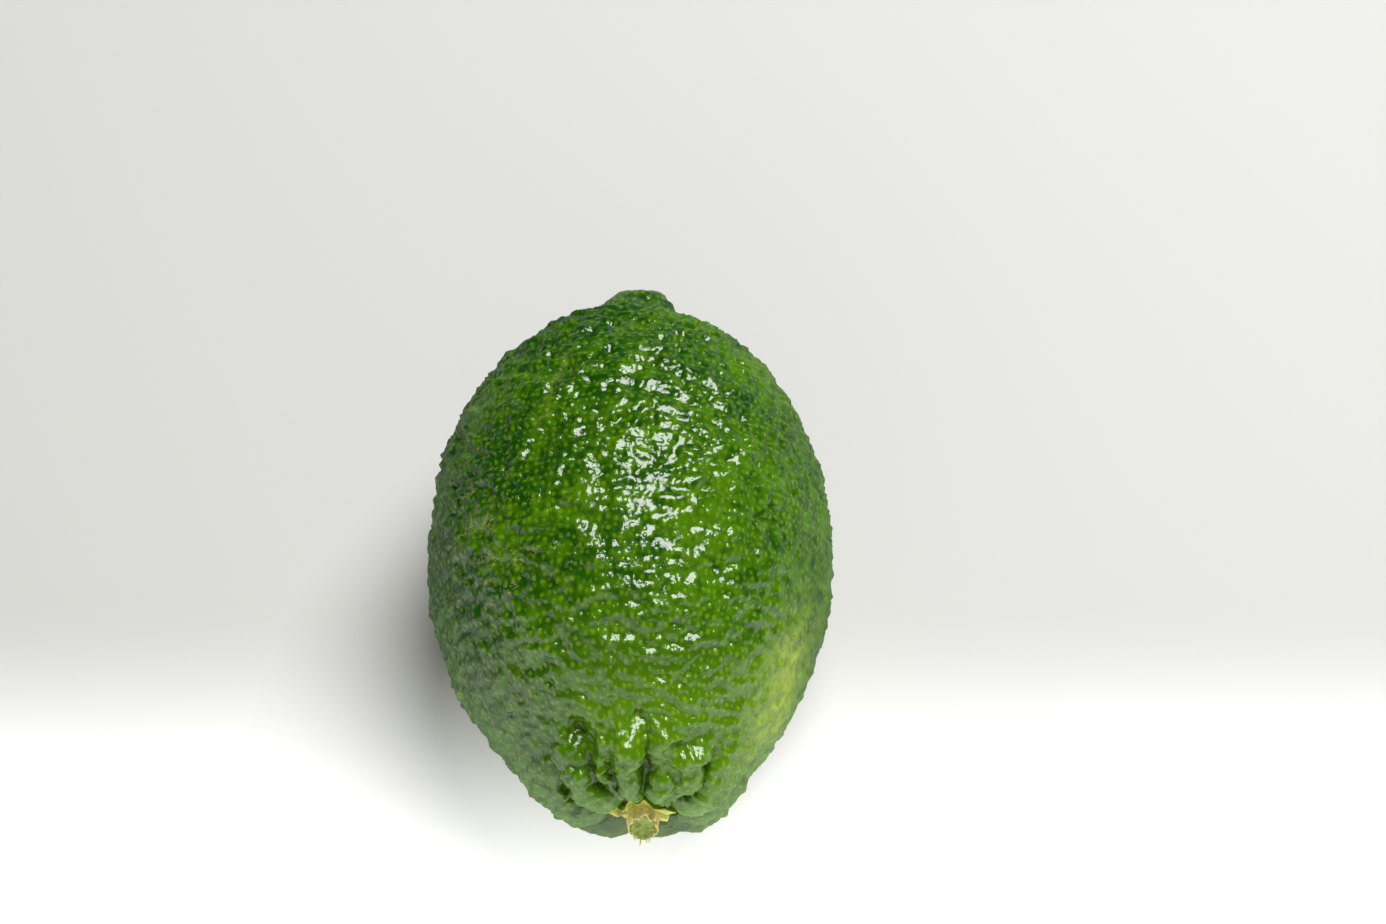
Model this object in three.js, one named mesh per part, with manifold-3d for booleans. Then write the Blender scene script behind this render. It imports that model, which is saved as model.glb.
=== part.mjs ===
// A fresh lime lying on its side, with the calyx and the short stem stub that it was picked with.
// Millimetres. +Z is up and +Y runs along the fruit from the stem end to the tip. The fruit rests
// on a small flat spot in the plane z = 0, and the origin is under the middle of the whole part.
//
// Each piece is first made round the fruit's own axis, with the widest ring at y = 0, and is then
// moved to its place over the origin.

import * as THREE from "three";
import { mergeVertices } from "three/addons/utils/BufferGeometryUtils.js";
import Module from "manifold-3d";

// The fruit
const WIDTH = 50; // across the widest ring
const TIP_LENGTH = 32; // widest ring to the end of the body, under the nipple
const STEM_LENGTH = 36.3; // widest ring to the point that the stem end tapers towards
const TIP_FULLNESS = 0.945; // power of the tip end's taper: 1 is an ellipse, less is blunter
const STEM_TAPER = 1.3; // the same for the stem end: over 1 is drawn out to a neck
const TIP_SHIFT = 1.2; // how far the nipple's top lies to +X of the middle
const STEM_SHIFT = 2; // how far the calyx and the stem stub lie to +X of the middle
const SHIFT_FROM = 0.45; // where the stem end's shift starts and is whole, as shares of STEM_LENGTH
const SHIFT_WHOLE = 0.92;
const REST_DEPTH = 0.5; // how far the flat spot is pressed into the round

// The nipple at the tip
const NIPPLE_HEIGHT = 4.1;
const NIPPLE_RADIUS = 6.2;

// The hollow at the stem end
const HOLLOW_DEPTH = 4.7;
const HOLLOW_RADIUS = 4.2;

// The lobes that crowd round the hollow. Each begins at a furrow, whose angle is in degrees from +Z
// to +X, and ends at the next one's. Depth and reach are the furrow's, the reach being the distance
// from the axis where it has run out. Swell is how far the lobe stands out between its furrows.
const LOBES = [
  { angle: -165, depth: 1.4, reach: 12, swell: 0.3 },
  { angle: -125, depth: 1.7, reach: 12.5, swell: 0.6 },
  { angle: -80, depth: 2.1, reach: 13.5, swell: 0.9 },
  { angle: -45, depth: 1.9, reach: 14.5, swell: 0.1 },
  { angle: -20, depth: 2.1, reach: 15.5, swell: 1.1 },
  { angle: 5, depth: 2.3, reach: 15.5, swell: 0.6 },
  { angle: 55, depth: 1.9, reach: 14.5, swell: 0.3 },
  { angle: 105, depth: 1.5, reach: 12.5, swell: 0.3 },
  { angle: 150, depth: 1.5, reach: 12, swell: 0.3 },
];
const FURROW_START = 2.5; // distance from the axis at which the furrows begin, in the hollow
const FURROW_RISE = 3; // how much further out they have their full depth
const FURROW_FADE = 0.6; // share of the reach at which a furrow begins to run out
const SWELL_RISE = 3; // how far out from the calyx the lobes stand out fully
const SWELL_FADE = 0.75; // share of the reach at which a lobe begins to settle into the round
const LOBE_SQUARENESS = 3; // over 1 makes each lobe a pillow with narrow furrows beside it

// Slow lumps that keep the cross-section from being a true circle: [waves round, size, turn]
const LUMPS = [
  [2, 0.25, 0.6],
  [3, 0.2, 2.1],
  [5, 0.12, 4.0],
];

// The calyx, a five-lobed collar in the hollow
const CALYX_RADIUS = 3.7;
const CALYX_NOTCH = 0.7; // how far the outline draws in between two sepals
const CALYX_THICKNESS = 0.5;
const SEPALS = 5;

// The stem stub, cut off on a slant
const STEM_RADIUS = 1.8;
const STUB_LENGTH = 3.7;
const CUT_SLANT = 0.35; // slope of the cut, which faces up and away from the fruit
const STUB_CHAMFER = 0.25;

const CLEARANCE = 0.3; // gap left between neighbouring pieces
const SLOPE_STEP = 0.01; // distance over which the slope of the hollow's wall is taken

const AROUND = 72; // facets round the fruit, five degrees each
const ALONG = 48; // facets from the tip to the stem
const CALYX_AROUND = 40;
const CALYX_STEPS = 3;
const STEM_AROUND = 24;

const RADIUS = WIDTH / 2;
const REST_HEIGHT = RADIUS - REST_DEPTH;
const CORE = new THREE.Vector3(0, -STEM_LENGTH / 3, 0); // furrows sink towards this point

const wasm = await Module();
wasm.setup();

// 0 below low, 1 above high, and smooth between.
function ramp(low, high, value) {
  const share = THREE.MathUtils.clamp((value - low) / (high - low), 0, 1);
  return share * share * (3 - 2 * share);
}

// A round bump with a flat top: 1 at the axis, and almost gone at one and a half times its radius.
function bump(distance, radius) {
  return Math.exp(-((distance / radius) ** 4));
}

// The y of the stem end's surface at a distance from the axis, with no lobes.
function stemEndY(distance) {
  const polar = Math.asin((distance / RADIUS) ** (1 / STEM_TAPER));
  return -STEM_LENGTH * Math.cos(polar) + HOLLOW_DEPTH * bump(distance, HOLLOW_RADIUS);
}

// How far the peel sinks towards the core at an angle and a distance from the axis, by the furrows
// and the lobes between them. It's below 0 where a lobe stands out.
function lobeSink(around, distance) {
  const degrees = THREE.MathUtils.radToDeg(around);
  const count = LOBES.length;
  const after = (LOBES.findIndex(({ angle }) => angle > degrees) + count) % count;
  const lobe = LOBES[(after + count - 1) % count];
  const next = LOBES[after];
  const span = THREE.MathUtils.euclideanModulo(next.angle - lobe.angle, 360);
  const across = THREE.MathUtils.euclideanModulo(degrees - lobe.angle, 360) / span;
  const share = Math.abs(2 * across - 1) ** LOBE_SQUARENESS; // 1 in a furrow, 0 over most of a lobe
  const reach = THREE.MathUtils.lerp(lobe.reach, next.reach, across);
  const depth = across < 0.5 ? lobe.depth : next.depth;
  const sunk = ramp(FURROW_START, FURROW_START + FURROW_RISE, distance);
  const raised = ramp(CALYX_RADIUS, CALYX_RADIUS + SWELL_RISE, distance);
  const furrow = depth * share * sunk * (1 - ramp(FURROW_FADE * reach, reach, distance));
  const swell = lobe.swell * (1 - share) * raised * (1 - ramp(SWELL_FADE * reach, reach, distance));
  return furrow - swell;
}

// A point on the peel: polar is the angle from the tip's end of the axis, around is from +Z to +X.
function peelPoint(polar, around) {
  const towardsTip = Math.cos(polar) >= 0;
  const power = towardsTip ? TIP_FULLNESS : STEM_TAPER;
  const distance = RADIUS * Math.max(Math.sin(polar), 0) ** power;
  const y = towardsTip
    ? TIP_LENGTH * Math.cos(polar) + NIPPLE_HEIGHT * bump(distance, NIPPLE_RADIUS)
    : STEM_LENGTH * Math.cos(polar) + HOLLOW_DEPTH * bump(distance, HOLLOW_RADIUS);
  const lump = LUMPS.reduce((sum, [waves, size, turn]) => sum + size * Math.cos(waves * around + turn), 0);
  const round = distance + lump * Math.sin(polar) ** 4;
  const point = new THREE.Vector3(round * Math.sin(around), y, round * Math.cos(around));
  if (towardsTip) return point;
  const inwards = CORE.clone().sub(point).normalize();
  return point.addScaledVector(inwards, lobeSink(around, distance));
}

// Shifts both ends of the fruit a little to one side.
function shiftEnds(point) {
  point.x += point.y > 0
    ? TIP_SHIFT * (point.y / (TIP_LENGTH + NIPPLE_HEIGHT)) ** 6
    : STEM_SHIFT * ramp(SHIFT_FROM * STEM_LENGTH, SHIFT_WHOLE * STEM_LENGTH, -point.y);
  return point;
}

// Moves every vertex of a geometry by a rule that takes and returns a Vector3.
function reshape(geometry, rule) {
  const position = geometry.getAttribute("position");
  const point = new THREE.Vector3();
  for (let i = 0; i < position.count; i++) {
    const moved = rule(point.fromBufferAttribute(position, i));
    position.setXYZ(i, moved.x, moved.y, moved.z);
  }
  return geometry;
}

// One closed surface with shared vertices, as manifold-3d and the mesh need it.
function welded(geometry) {
  geometry.deleteAttribute("normal");
  geometry.deleteAttribute("uv");
  return mergeVertices(geometry, 1e-4);
}

function solidOf(geometry) {
  const closed = welded(geometry);
  const vertProperties = closed.getAttribute("position").array;
  const triVerts = new Uint32Array(closed.index.array);
  return new wasm.Manifold(new wasm.Mesh({ numProp: 3, vertProperties, triVerts }));
}

function geometryOf(solid) {
  const { vertProperties, triVerts } = solid.getMesh();
  const geometry = new THREE.BufferGeometry();
  geometry.setAttribute("position", new THREE.BufferAttribute(vertProperties, 3));
  geometry.setIndex(new THREE.BufferAttribute(triVerts, 1));
  geometry.computeVertexNormals();
  return geometry;
}

// The whole fruit: a sphere's grid drawn out to the peel, with its underside cut flat to rest on.
function fruitGeometry() {
  const round = reshape(new THREE.SphereGeometry(1, AROUND, ALONG), (point) => {
    const polar = Math.acos(THREE.MathUtils.clamp(point.y, -1, 1));
    return shiftEnds(peelPoint(polar, Math.atan2(point.x, point.z)));
  });
  const side = 2 * (TIP_LENGTH + STEM_LENGTH);
  const ground = new THREE.BoxGeometry(side, side, side).translate(0, 0, -REST_HEIGHT - side / 2);
  return geometryOf(solidOf(round).subtract(solidOf(ground)));
}

// The calyx: a thin collar that follows the hollow's wall, drawn out into sepals.
function calyxGeometry() {
  const inner = STEM_RADIUS + CLEARANCE;
  const section = [];
  for (let i = 0; i <= CALYX_STEPS; i++) section.push(new THREE.Vector2(1 + i / CALYX_STEPS, -1));
  for (let i = CALYX_STEPS; i >= 0; i--) section.push(new THREE.Vector2(1 + i / CALYX_STEPS, 0));
  section.push(section[0].clone());
  // The lathe turns the section about Y with a radius of 1 to 2, which the rule below takes apart.
  const ring = new THREE.LatheGeometry(section, CALYX_AROUND);
  return reshape(ring, (point) => {
    const around = Math.atan2(point.x, point.z);
    const sepal = (1 + Math.cos(SEPALS * around)) / 2;
    const outer = CALYX_RADIUS - CALYX_NOTCH * (1 - sepal);
    const distance = THREE.MathUtils.lerp(inner, outer, Math.hypot(point.x, point.z) - 1);
    const slope = (stemEndY(distance + SLOPE_STEP) - stemEndY(distance)) / SLOPE_STEP;
    const y = stemEndY(distance) + (CALYX_THICKNESS * point.y - CLEARANCE) * Math.hypot(1, slope);
    return shiftEnds(new THREE.Vector3(distance * Math.sin(around), y, distance * Math.cos(around)));
  });
}

// The stem stub: a short round peg from the floor of the hollow, with a slanting cut end.
function stemGeometry() {
  const base = stemEndY(0) - CLEARANCE;
  const cut = base - STUB_LENGTH;
  const profile = [
    [0, cut],
    [STEM_RADIUS - STUB_CHAMFER, cut],
    [STEM_RADIUS, cut + STUB_CHAMFER],
    [STEM_RADIUS, base],
    [0, base],
  ];
  const peg = new THREE.LatheGeometry(
    profile.map(([distance, y]) => new THREE.Vector2(distance, y)),
    STEM_AROUND,
  );
  return reshape(peg, (point) => {
    const outwards = (base - point.y) / STUB_LENGTH;
    point.y += CUT_SLANT * point.z * outwards;
    return shiftEnds(point);
  });
}

function piece(name, geometry, colour, roughness) {
  const material = new THREE.MeshStandardMaterial({ color: colour, roughness, metalness: 0 });
  const mesh = new THREE.Mesh(geometry, material);
  mesh.name = name;
  return mesh;
}

const lime = new THREE.Group();
lime.add(piece("fruit", fruitGeometry(), 0x4f7919, 0.35));
lime.add(piece("calyx", welded(calyxGeometry()), 0x8f9a45, 0.7));
lime.add(piece("stem_stub", welded(stemGeometry()), 0xb09a5c, 0.75));

const middle = new THREE.Box3().setFromObject(lime).getCenter(new THREE.Vector3());
for (const mesh of lime.children) mesh.position.set(-middle.x, -middle.y, REST_HEIGHT);

export default lime;
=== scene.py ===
# A fresh lime on a white table: pitted glossy peel, puckered stem end, calyx and a cut stem stub.
from math import cos, exp, hypot, pi, radians, sin
from random import Random

import bmesh
import bpy
from mathutils import Matrix, Vector, noise
from mathutils.bvhtree import BVHTree


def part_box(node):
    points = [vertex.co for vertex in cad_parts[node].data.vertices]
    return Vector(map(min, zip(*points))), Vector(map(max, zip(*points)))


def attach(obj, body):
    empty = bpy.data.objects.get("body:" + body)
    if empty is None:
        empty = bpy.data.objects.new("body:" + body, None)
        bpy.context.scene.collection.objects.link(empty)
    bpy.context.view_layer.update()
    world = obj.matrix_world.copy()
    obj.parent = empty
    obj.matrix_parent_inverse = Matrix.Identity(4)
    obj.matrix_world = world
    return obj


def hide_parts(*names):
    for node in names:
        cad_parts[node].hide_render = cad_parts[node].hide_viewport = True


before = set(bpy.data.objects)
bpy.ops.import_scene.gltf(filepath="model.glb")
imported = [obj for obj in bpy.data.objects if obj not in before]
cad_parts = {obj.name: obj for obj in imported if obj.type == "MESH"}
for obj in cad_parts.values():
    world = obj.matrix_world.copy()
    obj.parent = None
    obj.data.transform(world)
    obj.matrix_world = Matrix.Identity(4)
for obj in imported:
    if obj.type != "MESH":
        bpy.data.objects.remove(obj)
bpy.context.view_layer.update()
mm = 0.001

fruit = {
    "radius": 25 * mm,  # of the widest ring
    "tipLength": 32 * mm,  # widest ring to the tip, under the nipple
    "stemLength": 36.3 * mm,  # widest ring to the point the stem end tapers to
    "tipFullness": 0.945,
    "stemTaper": 1.3,
    "nippleHeight": 4.1 * mm,
    "nippleRadius": 5.4 * mm,
    "hollowDepth": 4.7 * mm,
    "hollowRadius": 4.2 * mm,
    "restDepth": 0.5 * mm,  # flat spot pressed into the round
    "tipShift": 1.2 * mm,  # the nipple's top lies this far to one side
    "stemShift": 2.0 * mm,  # and so do the calyx and the stem
    "shiftRange": (0.45, 0.92),  # where the stem end's shift starts and is whole
    "boxShift": 0.25 * mm,  # the box's middle lies this far to the side of the ring's centre
    "lumps": [(2, 0.25 * mm, 0.6), (3, 0.2 * mm, 2.1), (5, 0.12 * mm, 4.0)],  # waves, size, turn
    "squares": 128,  # along each edge of the cube that is blown up into the fruit
    "seed": 4,
}

# The frame's box of the fruit and the profile give the centre of the widest ring
fruitLow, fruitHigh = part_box("fruit")
ringCentre = Vector((
    (fruitLow[0] + fruitHigh[0]) / 2 - fruit["boxShift"],
    fruitHigh[1] - fruit["tipLength"] - fruit["nippleHeight"],
    fruitLow[2] + fruit["radius"] - fruit["restDepth"],
))


def plateau(distance, radius):  # 1 at the axis, gone at about one and a half radii
    return exp(-((distance / radius) ** 4))


def fruitPoint(end, angle, distance):  # on the smooth fruit, seen from the ring's centre
    around = radians(angle)
    if end == "stem":
        sine = (distance / fruit["radius"]) ** (1 / fruit["stemTaper"])
        reach = -fruit["stemLength"] * (1 - sine ** 2) ** 0.5
        reach += fruit["hollowDepth"] * plateau(distance, fruit["hollowRadius"])
    else:
        sine = (distance / fruit["radius"]) ** (1 / fruit["tipFullness"])
        reach = fruit["tipLength"] * (1 - sine ** 2) ** 0.5
        reach += fruit["nippleHeight"] * plateau(distance, fruit["nippleRadius"])
    return Vector((distance * sin(around), reach, distance * cos(around)))


def feed(tree, socket, value):
    if isinstance(value, bpy.types.NodeSocket):
        tree.links.new(value, socket)
    elif value is not None:
        socket.default_value = value


def addNode(tree, kind, values=None, **settings):
    node = tree.nodes.new(kind)
    for name, value in settings.items():
        setattr(node, name, value)
    for name, value in (values or {}).items():
        feed(tree, node.inputs[name], value)
    return node


def calc(tree, operation, *values):
    node = addNode(tree, "ShaderNodeMath", operation=operation)
    for socket, value in zip(node.inputs, values):
        feed(tree, socket, value)
    return node.outputs[0]


def arrow(tree, operation, *values, scale=None):
    node = addNode(tree, "ShaderNodeVectorMath", operation=operation)
    for socket, value in zip(node.inputs, values):
        feed(tree, socket, value)
    if scale is not None:
        feed(tree, node.inputs["Scale"], scale)
    numeric = operation in ("LENGTH", "DISTANCE", "DOT_PRODUCT")
    return node.outputs["Value" if numeric else "Vector"]


def joinAxes(tree, x, y, z):
    return addNode(tree, "ShaderNodeCombineXYZ", {"X": x, "Y": y, "Z": z}).outputs[0]


def splitAxes(tree, vector):
    return addNode(tree, "ShaderNodeSeparateXYZ", {"Vector": vector}).outputs


def slide(tree, value, low, high, start=0.0, end=1.0):  # smooth step from low to high
    node = addNode(tree, "ShaderNodeMapRange", interpolation_type="SMOOTHSTEP")
    for name, setting in (("Value", value), ("From Min", low), ("From Max", high),
                          ("To Min", start), ("To Max", end)):
        feed(tree, node.inputs[name], setting)
    return node.outputs["Result"]


def total(tree, terms):
    result = terms[0]
    for term in terms[1:]:
        result = calc(tree, "ADD", result, term)
    return result


def product(tree, *terms):
    result = terms[0]
    for term in terms[1:]:
        result = calc(tree, "MULTIPLY", result, term)
    return result


def softNoise(tree, vector, scale, detail=2.0, roughness=0.5, distortion=0.0):  # about -1 to 1
    node = addNode(tree, "ShaderNodeTexNoise", {
        "Vector": vector, "Scale": scale, "Detail": detail,
        "Roughness": roughness, "Distortion": distortion,
    })
    value = node.outputs["Fac" if "Fac" in node.outputs else "Factor"]
    return calc(tree, "MULTIPLY_ADD", value, 2.0, -1.0)


def cells(tree, vector, scale, kind="F1", **values):  # distance from the nearest seed point
    inputs = {"Vector": vector, "Scale": scale}
    inputs.update(values)
    return addNode(tree, "ShaderNodeTexVoronoi", inputs, feature=kind).outputs["Distance"]


def roundHill(tree, gap, radius):  # 1 in the middle, gone at about two radii
    ratio = calc(tree, "DIVIDE", gap, radius)
    return calc(tree, "EXPONENT", calc(tree, "MULTIPLY", calc(tree, "POWER", ratio, 2.0), -1.0))


# Each furrow runs outwards from the hollow: depth, then (angle from the top, distance) points.
# A knob is a round swelling, or a sunk spot where its height is below 0.
stemEnd = {
    "furrows": [
        (2.6 * mm, [(5, 3.0), (-1, 7.5), (1, 8.9), (3, 10.4), (3, 12.3), (4, 13.8), (5, 15.6)]),
        (2.1 * mm, [(-24, 3.0), (-19, 7.8), (-18, 8.8), (-19, 10.0), (-17, 12.2), (-15, 15.0)]),
        (2.1 * mm, [(-30, 3.0), (-23, 7.9), (-28, 8.9), (-32, 10.0), (-32, 11.1), (-29, 12.7),
                    (-26, 15.5)]),
        (0.9 * mm, [(-36, 12.4), (-44, 12.8), (-54, 13.4)]),
        (2.1 * mm, [(-72, 3.0), (-68, 5.0), (-63, 7.2), (-61, 8.8), (-58, 10.2), (-53, 11.5),
                    (-50, 14.5)]),
        (2.0 * mm, [(-120, 3.0), (-116, 7.0), (-112, 12.5)]),
        (2.2 * mm, [(43, 3.8), (33, 7.8), (39, 8.8), (42, 10.1), (41, 11.2), (40, 12.5), (42, 15.5)]),
        (1.1 * mm, [(20, 12.8), (23, 13.5), (28, 14.2), (34, 14.7), (40, 15.6)]),
        (1.1 * mm, [(25, 5.5), (24, 8.8), (22, 9.8), (20, 10.8), (19, 12.0)]),
        (1.9 * mm, [(92, 3.0), (88, 7.0), (80, 12.5)]),
        (0.8 * mm, [(150, 3.0), (148, 7.0), (152, 12.0)]),
        (1.7 * mm, [(-168, 3.0), (-165, 7.0), (-168, 12.0)]),
    ],
    "step": 0.25 * mm,  # between the points along a furrow
    "shoulder": 2.3 * mm,  # from a furrow's floor to where the lobe beside it is round and full
    "fade": 0.3,  # share of a furrow's length over which it runs out
    "swell": 1.1 * mm,  # how far the lobes stand out together
    "swellFrom": (5.0 * mm, 8.5 * mm),
    "swellTo": (12.0 * mm, 16.5 * mm),
    "knobs": [  # angle, distance, radius, height
        (-7, 12.9, 2.1, 2.1), (-29, 14.6, 1.7, -1.7), (2, 15.6, 1.4, -0.9), (-10, 9.6, 1.8, 0.6),
        (11, 13.8, 1.4, 1.2), (22, 12.2, 1.4, 1.0), (31, 13.2, 1.3, 1.0), (13, 9.0, 1.8, 0.6),
        (32, 10.4, 1.6, 0.8), (-26, 11.2, 1.1, 0.6), (-20, 13.7, 0.8, 0.6), (-23, 12.5, 0.8, 0.6),
        (-39, 12.2, 2.0, 0.8), (-47, 10.3, 2.4, 0.8), (-75, 9.1, 2.6, 0.7), (58, 10.5, 2.4, 0.5),
        (-100, 9.5, 3.2, 0.4), (0, 4.9, 2.6, -0.8), (180, 8.0, 4.5, -0.6), (180, 4.5, 2.5, -0.8),
        (-90, 4.6, 1.8, -0.7), (75, 4.6, 1.8, -0.6), (95, 13.0, 5.0, -2.6), (125, 6.5, 3.0, -1.0),
        (-140, 4.8, 2.4, -1.4), (16, 10.6, 0.8, 0.4), (3, 8.6, 0.7, 0.3), (-9, 11.6, 0.7, 0.4),
    ],
    "shade": [(-140, 5.2, 3.6), (135, 6.0, 3.4), (180, 5.0, 3.0)],  # painted shade, darker spots low in the hollow: angle, distance, radius
    "wobble": 0.28 * mm,  # how far the furrows and knobs stray from their routes
    "wobbleScale": 0.45,
    "fullCreaseShade": 2.0 * mm,  # a furrow this deep has the crease's whole painted shade
}
tipEnd = {
    "knobs": [  # angle, distance, radius, height
        (-72, 3.0, 1.3, 0.5), (66, 2.6, 1.4, 0.4), (-4, 2.3, 1.0, -0.4), (-60, 0.6, 1.0, -0.8),
        (150, 2.6, 1.2, 0.4), (-140, 2.4, 1.1, 0.3), (5, 4.4, 0.7, 0.3), (38, 5.6, 0.8, 0.25),
        (-20, 8.2, 1.4, -0.2), (-2, 9.4, 0.8, 0.25), (80, 6.0, 1.0, 0.25), (-50, 6.2, 0.9, 0.3),
    ],
}
peelRelief = {  # a size is how high it stands, a scale how close together it lies
    "swellSize": 0.5 * mm,  # slow undulation
    "swellScale": 0.16,
    "wrinkleSize": 0.72 * mm,
    "wrinkleScale": 0.36,
    "wrinkleStretch": 62.0,  # high, so that the wrinkles run round the fruit
    "rippleSize": 0.19 * mm,
    "rippleScale": 0.8,
    "cushionSize": 0.34 * mm,
    "cushionScale": 0.42,
    "cushionStray": 2.5,  # how crooked their rows are
    "pitDepth": 0.30 * mm,
    "pitScale": 0.5,
    "wartHeight": 0.20 * mm,
    "wartScale": 0.36,
    "puckering": 1.0,  # how much rougher the lobes are
    "tipEase": (2.5 * mm, 6 * mm, 0.35, 1.25),  # from and to how far off the axis, and the share
    "stemEase": (5 * mm, 12 * mm, 0.35, 1.0),
    "sideEase": (0.1, 0.9, 1.0, 0.75),  # calmer towards the right side
}
# Old rubs and blemishes: where each lies, as a way out from the middle, and how far it reaches
marks = {
    "smooth": [((0.03, -0.27, 0.96), 0.05), ((0.34, -0.62, 0.70), 0.04)],
    "rubbed": ((-0.60, -0.12, 0.79), 0.36),
    "folded": ((-0.66, -0.66, 0.36), 0.45),
    "yellow": [((0.80, -0.50, 0.35), 0.18), ((0.74, -0.66, 0.22), 0.19)],
    "specks": ((0.86, -0.42, 0.30), 0.09),
    "scar": [(-0.29, 0.57, 0.77), (-0.35, 0.42, 0.84), (-0.37, 0.28, 0.89), (-0.43, 0.26, 0.86)],
}


def furrowPoints():  # dense points along every furrow, each with its depth there
    mesh = bpy.data.meshes.new("furrowPoints")
    places, depths = [], []
    for depth, route in stemEnd["furrows"]:
        legs = []
        for start, end in zip(route, route[1:]):
            across = radians(end[0] - start[0]) * (start[1] + end[1]) / 2
            length = (across ** 2 + (end[1] - start[1]) ** 2) ** 0.5 * mm
            count = max(1, round(length / stemEnd["step"]))
            legs += [Vector(start).lerp(Vector(end), i / count) for i in range(count)]
        for i, (angle, distance) in enumerate(legs):
            places.append(fruitPoint("stem", angle, distance * mm))
            depths.append(depth * min(1, (1 - i / len(legs)) / stemEnd["fade"]))
    mesh.from_pydata(places, [], [])
    attribute = mesh.attributes.new("depth", "FLOAT", "POINT")
    attribute.data.foreach_set("value", depths)
    return bpy.data.objects.new("peel", mesh)


def markShare(tree, bearing, mark):  # 1 in the middle of a mark, 0 well outside it
    middle, reach = mark
    return roundHill(tree, arrow(tree, "DISTANCE", bearing, middle), reach)


sizeInputs = {  # the tree's inputs that are sizes, and what each is set to
    "Radius": fruit["radius"], "Tip length": fruit["tipLength"],
    "Stem length": fruit["stemLength"], "Tip fullness": fruit["tipFullness"],
    "Stem taper": fruit["stemTaper"], "Nipple height": fruit["nippleHeight"],
    "Nipple radius": fruit["nippleRadius"], "Hollow depth": fruit["hollowDepth"],
    "Hollow radius": fruit["hollowRadius"], "Rest depth": fruit["restDepth"],
    "Tip shift": fruit["tipShift"], "Stem shift": fruit["stemShift"],
}


def treeInputs(tree):
    interface = tree.interface
    interface.new_socket("Furrow points", in_out="INPUT", socket_type="NodeSocketGeometry")
    for name in sizeInputs:
        interface.new_socket(name, in_out="INPUT", socket_type="NodeSocketFloat")
    interface.new_socket("Squares", in_out="INPUT", socket_type="NodeSocketInt")
    interface.new_socket("Seed", in_out="INPUT", socket_type="NodeSocketInt")
    interface.new_socket("Peel", in_out="INPUT", socket_type="NodeSocketMaterial")
    interface.new_socket("Geometry", in_out="OUTPUT", socket_type="NodeSocketGeometry")
    return addNode(tree, "NodeGroupInput").outputs


def moved(tree, body, **where):  # to a Position or by an Offset
    return addNode(tree, "GeometryNodeSetPosition", {"Geometry": body, **where}).outputs[0]


def stored(tree, body, name, value, kind="FLOAT"):  # with a value kept at every point
    return addNode(tree, "GeometryNodeStoreNamedAttribute", {
        "Geometry": body, "Name": name, "Value": value,
    }, data_type=kind).outputs[0]


def recalled(tree, name, kind="FLOAT"):
    node = addNode(tree, "GeometryNodeInputNamedAttribute", {"Name": name}, data_type=kind)
    return node.outputs["Attribute"]


def blownCube(tree, place, squares):  # a cube's grid blown up to a ball, in equal angles
    edge = calc(tree, "ADD", squares, 1)
    cube = addNode(tree, "GeometryNodeMeshCube", {
        "Size": (2, 2, 2), "Vertices X": edge, "Vertices Y": edge, "Vertices Z": edge,
    }).outputs["Mesh"]
    angles = [calc(tree, "MULTIPLY", axis, pi / 4) for axis in splitAxes(tree, place)]
    spread = [calc(tree, "TANGENT", angle) for angle in angles]
    ball = moved(tree, cube, Position=arrow(tree, "NORMALIZE", joinAxes(tree, *spread)))
    return stored(tree, ball, "bearing", place, "FLOAT_VECTOR")


def bearingParts(tree, bearing):  # what the profile and the relief read of each bearing
    x, y, z = splitAxes(tree, bearing)
    sine = arrow(tree, "LENGTH", joinAxes(tree, x, 0.0, z))
    tipwards = calc(tree, "GREATER_THAN", y, 0.0)
    return {
        "sideways": x,
        "lengthways": y,
        "sine": sine,
        "polar": calc(tree, "ARCTAN2", sine, y),
        "around": calc(tree, "ARCTAN2", x, z),
        "tipwards": tipwards,
        "stemwards": calc(tree, "SUBTRACT", 1.0, tipwards),
    }


def either(tree, parts, tipValue, stemValue):  # one value at the tip's half, one at the stem's
    return calc(tree, "ADD", product(tree, parts["tipwards"], tipValue),
                product(tree, parts["stemwards"], stemValue))


def flatHill(tree, distance, radius):  # plateau, as nodes
    ratio = calc(tree, "DIVIDE", distance, radius)
    return calc(tree, "EXPONENT", calc(tree, "MULTIPLY", calc(tree, "POWER", ratio, 4.0), -1.0))


def smoothPlace(tree, given, parts):  # where each bearing lies on the smooth fruit
    power = either(tree, parts, given["Tip fullness"], given["Stem taper"])
    distance = product(tree, given["Radius"], calc(tree, "POWER", parts["sine"], power))
    nipple = flatHill(tree, distance, given["Nipple radius"])
    nipple = product(tree, given["Nipple height"], nipple)
    hollow = flatHill(tree, distance, given["Hollow radius"])
    hollow = product(tree, given["Hollow depth"], hollow)
    along = either(tree, parts, given["Tip length"], given["Stem length"])
    along = product(tree, along, parts["lengthways"])
    along = calc(tree, "ADD", along, either(tree, parts, nipple, hollow))
    lumps = []
    for waves, size, turn in fruit["lumps"]:
        wave = calc(tree, "COSINE", calc(tree, "MULTIPLY_ADD", parts["around"], waves, turn))
        lumps.append(calc(tree, "MULTIPLY", wave, size))
    lump = product(tree, total(tree, lumps), calc(tree, "POWER", parts["sine"], 4.0))
    girth = calc(tree, "ADD", distance, lump)
    x = product(tree, girth, calc(tree, "SINE", parts["around"]))
    z = product(tree, girth, calc(tree, "COSINE", parts["around"]))
    return joinAxes(tree, x, along, z), distance


def strayed(tree, place, perMm):  # the furrows and knobs wobble a little
    wobble = addNode(tree, "ShaderNodeTexNoise", {
        "Vector": perMm, "Scale": stemEnd["wobbleScale"], "Detail": 1.0,
    })
    wobble = arrow(tree, "SUBTRACT", wobble.outputs["Color"], (0.5, 0.5, 0.5))
    return arrow(tree, "ADD", place, arrow(tree, "SCALE", wobble, scale=4 * stemEnd["wobble"]))


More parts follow.
